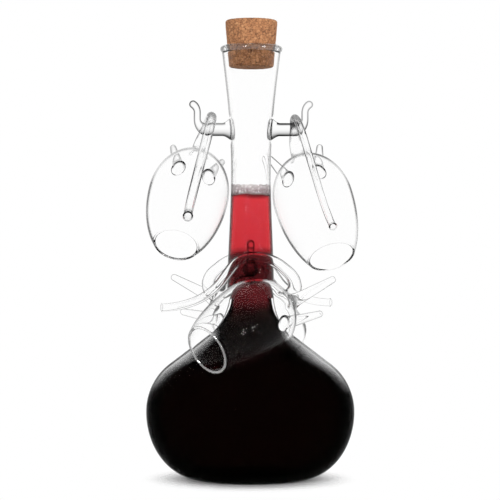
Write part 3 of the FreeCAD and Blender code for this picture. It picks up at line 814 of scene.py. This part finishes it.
# Circles along the cup's axis and the straw's path: outside from the mouth to the straw's tip,
# round the tip, and back inside to the mouth, where they meet round the rim.
def makeSipper(name):
    s, cup = sipper, sippers[name]
    outside = bowlOutline(cup, 0, cup["spoutRadius"])
    inside = bowlOutline(cup, s["wall"], cup["spoutRadius"] - s["strawWall"])[::-1]
    x, y, heading, length = walkPath(-cup["baseLength"] - s["spoutLength"], 0, 180, strawMoves(cup))
    outer = strawRadius(cup, length)
    toTip = length - length[-1]  # rises to 0 at the tip
    thinned = s["tipThin"] * smooth((toTip + s["tipThinFrom"]) / s["tipThinOver"])
    bore = outer - s["strawWall"] * (1 - thinned)
    outer = outer + s["beadRise"] * smooth((toTip + 1.0) / 0.8)
    t = np.linspace(0, math.pi, 12)[1:-1]
    tipHalf, tipMiddle = (outer[-1] - bore[-1]) / 2, (outer[-1] + bore[-1]) / 2
    tipX = x[-1] + tipHalf * np.sin(t) * math.cos(heading[-1])
    tipY = y[-1] + tipHalf * np.sin(t) * math.sin(heading[-1])
    rimHalf = s["wall"] / 2 + cup["rimSwell"]
    rimMiddle, rimStart = cup["mouthRadius"] - s["wall"] / 2, cup["mouthLength"] - 2 * cup["rimSwell"]
    flat = [np.zeros(len(outside)), np.full(len(outside), math.pi)]
    parts = [
        (outside[:, 0], *flat, outside[:, 1]),
        (x[1:], y[1:], heading[1:], outer[1:]),
        (tipX, tipY, np.full(len(t), heading[-1]), tipMiddle + tipHalf * np.cos(t)),
        (x[:0:-1], y[:0:-1], heading[:0:-1], bore[:0:-1]),
        (inside[:, 0], *flat, inside[:, 1]),
        (rimStart + rimHalf * np.sin(t), 0 * t, 0 * t + math.pi, rimMiddle - rimHalf * np.cos(t)),
    ]
    along, across, turn, radius = (np.concatenate(columns) for columns in zip(*parts))
    angle = ringAngles(s["sides"])
    beside = radius[:, None] * np.cos(angle)
    local = np.stack([
        along[:, None] - beside * np.sin(turn)[:, None],
        across[:, None] + beside * np.cos(turn)[:, None],
        radius[:, None] * np.sin(angle),
    ], -1)
    axes, place = hangingPlace(name, cup)
    wide = radius.copy()
    tipStart = len(outside) + len(x) - 1
    nearTip = smooth((toTip[1:] + s["fineFrom"]) / s["fineOver"])
    wide[len(outside):tipStart] *= s["fineness"] + s["tipFineness"] * nearTip
    wide[tipStart:-len(t)] = noLine
    wide[-len(t):] = s["rimRing"]
    paintedDark, glint = 0 * wide, 0 * wide
    # Painted shade: the straw's tip ring is painted an even grey.
    paintedDark[tipStart:tipStart + len(t)] = s["tipShade"]
    glint[-len(t):] = cup["rimGlint"]
    columns = {"ringRadius": wide, "paintedShade": paintedDark, "rimGlint": glint}
    piece = ringMesh(
        "sipper" + name.capitalize(), local @ axes + place, loop=True,
        attributes={key: roundRings(column, s["sides"]) for key, column in columns.items()},
    )
    title = "sipper_" + name
    dress(piece, cupGlass, "clear_glass", title, title + "_bowl", title + "_mouth", title + "_straw")


# How far along the peg each line meets the ellipsoid with these semi-axes: the larger root of the
# quadratic a d^2 + 2 b d + c = 0.
def meetDistance(rim, peg, semi):
    a = ((peg / semi) ** 2).sum()
    b = (rim * peg / semi**2).sum(1)
    c = ((rim / semi) ** 2).sum(1) - 1
    return (-b + np.sqrt(np.clip(b * b - a * c, 0, None))) / a


# Two tapered pegs. Each starts on the cup's outside, where lines along the peg meet the ellipsoid, and
# ends in a rounded tip. A crescent of painted shade darkens the upper side of its root.
def makeFeet(name):
    s, cup = sipper, sippers[name]
    axes, place = hangingPlace(name, cup)
    semi = np.array([cup["baseLength"], cup["bowlRadius"], cup["bowlRadius"]]) - s["footSunk"]
    station = cup["baseLength"] * math.sqrt(1 - (s["footRootOffset"] / cup["bowlRadius"]) ** 2)
    angle = ringAngles(s["footSides"])
    pieces = []
    for side in (1, -1):
        turn = math.radians(s["footTurn"]) * side
        away = np.array([0, math.cos(turn), math.sin(turn)])
        root = np.array([-station, 0, 0]) + away * s["footRootOffset"]
        tip = np.array([-s["footTipStation"], 0, 0]) + away * s["footTipOffset"]
        reach = np.linalg.norm(tip - root)
        peg = (tip - root) / reach
        first = np.cross(peg, away)
        first /= np.linalg.norm(first)
        around = np.cos(angle)[:, None] * first + np.sin(angle)[:, None] * np.cross(peg, first)
        share = np.linspace(0, 1, 26)
        radius = s["footPeg"] + (s["footTip"] - s["footPeg"]) * share
        radius += (s["footRoot"] - s["footPeg"]) * np.exp(-((share * reach / s["footFlare"]) ** 1.5))
        cap = radius[0] * np.array([0.6, 0.78])  # two rings inside the root's edge
        inner = [meetDistance(root + around * each, peg, semi) for each in cap]
        meet = meetDistance(root + around * radius[0], peg, semi)
        distance = meet[None, :] * (1 - share[:, None]) + reach * share[:, None]
        distance = np.vstack([*inner, distance])
        radius = np.concatenate([cap, radius])
        t = np.linspace(0, math.pi / 2 - 0.05, 9)[1:]
        distance = np.vstack([distance, (reach + s["footTip"] * np.sin(t))[:, None] + 0 * angle])
        radius = np.concatenate([radius, s["footTip"] * np.cos(t)])
        local = root + distance[..., None] * peg + radius[:, None, None] * around
        wide = roundRings(np.maximum(radius, s["footLeastRing"]), s["footSides"])
        rise = (local[2] @ axes)[:, 2]
        # Painted shade, darkest on the root's upper side and fading along the peg.
        crescent = smooth(0.4 + 1.6 * (rise - rise.mean()) / np.ptp(rise))
        paintedDark = crescent * (1 - smooth((distance - meet) / s["crescentReach"]))
        paintedDark[0], paintedDark[1] = 0, crescent
        columns = {"ringRadius": wide, "paintedShade": paintedDark}
        pieces.append(ringMesh("peg", local @ axes + place, attributes=columns))
    joined = joinPieces("sipper" + name.capitalize() + "Feet", pieces)
    dress(joined, pegGlass, "clear_glass", "sipper_" + name, "sipper_" + name + "_feet")


# The pieces as one mesh with one name.
def joinPieces(name, pieces):
    with bpy.context.temp_override(active_object=pieces[0], selected_editable_objects=pieces):
        bpy.ops.object.join()
    pieces[0].name = pieces[0].data.name = name
    return pieces[0]


cupGlass = clearGlass("cupGlass", ior=1.1, shine=0.6, lineWidth=1.5, lineShade=0.004, streak=0.55, glint=0.08)
pegGlass = clearGlass("pegGlass", ior=1.15, shine=0.5, lineWidth=0.45, lineShade=0.004)
for sipperName in sippers:
    makeSipper(sipperName)
    makeFeet(sipperName)
print("sippers made")

studio = dict(
    white=1.0, fill=0.95, floorRadius=0.9, floorClear=0.03, floorFade=0.068, floorRings=20, floorSides=96,
)


# A flat disc: radius and angle on a grid. Away from the object it fades out, so that it has no horizon.
def makeFloor():
    radius = np.linspace(0.01, studio["floorRadius"], studio["floorRings"]) / mm
    flat = spunRings(np.stack([radius, 0 * radius], -1), studio["floorSides"])
    under = flat[::-1].copy()
    under[..., 2] = -1
    floor = ringMesh("floor", np.concatenate([flat, under]))
    material, tree, shader = newMaterial("paleFloor")
    distance = addNode(tree, "ShaderNodeVectorMath", {0: objectPlace(tree)}, operation="LENGTH")
    fade = addSmooth(tree, distance.outputs["Value"], studio["floorClear"], studio["floorFade"])
    shader.inputs["Base Color"].default_value = grey(0.9)
    shader.inputs["Roughness"].default_value = 0.8
    shader.inputs["Specular IOR Level"].default_value = 0.1
    clear = addNode(tree, "ShaderNodeBsdfTransparent").outputs[0]
    mixed = addNode(tree, "ShaderNodeMixShader", {0: fade, 1: shader.outputs[0], 2: clear})
    tree.links.new(mixed.outputs[0], tree.nodes["Material Output"].inputs["Surface"])
    floor.data.materials.append(material)


# White where the camera, a reflection or a look through glass meets it, and a plain fill elsewhere.
def makeWorld():
    world = bpy.data.worlds.new("studio")
    bpy.context.scene.world = world
    world.use_nodes = True
    tree = world.node_tree
    path = addNode(tree, "ShaderNodeLightPath").outputs
    seen = addMath(tree, "MAXIMUM", path["Is Camera Ray"], path["Is Glossy Ray"])
    seen = addMath(tree, "MAXIMUM", seen, path["Is Transmission Ray"])
    strength = addNode(
        tree, "ShaderNodeMapRange", {"Value": seen, "To Min": studio["fill"], "To Max": studio["white"]}
    ).outputs["Result"]
    background = tree.nodes["Background"]
    background.inputs["Color"].default_value = grey(1.0)
    tree.links.new(strength, background.inputs["Strength"])


# A round lamp, turned from its place towards its target.
def makeLamp(name, place, target, size, power):
    data = bpy.data.lights.new(name, "AREA")
    data.shape, data.size, data.energy = "DISK", size, power
    lamp = bpy.data.objects.new(name, data)
    lamp.location = place
    aim = np.array(target) - np.array(place)
    lamp.rotation_euler = (
        math.acos(-aim[2] / np.linalg.norm(aim)), 0, math.atan2(aim[1], aim[0]) - math.pi / 2,
    )
    bpy.context.scene.collection.objects.link(lamp)
    lamp.visible_camera = lamp.visible_transmission = False


makeFloor()
makeWorld()
makeLamp("keyLamp", (-0.52, -1.25, 0.33), (0, 0, 0.25), 0.42, 11.0)
makeLamp("fillLamp", (0.98, -0.93, 0.33), (0, 0, 0.25), 0.42, 11.0)
makeLamp("topLamp", (0.1, 0.4, 1.4), (0, 0, 0.1), 0.8, 3.0)

scene = bpy.context.scene
scene.view_settings.view_transform = "Standard"
scene.cycles.max_bounces = 40
scene.cycles.transmission_bounces = 40
scene.cycles.glossy_bounces = 12
scene.cycles.transparent_max_bounces = 24
print("studio made")
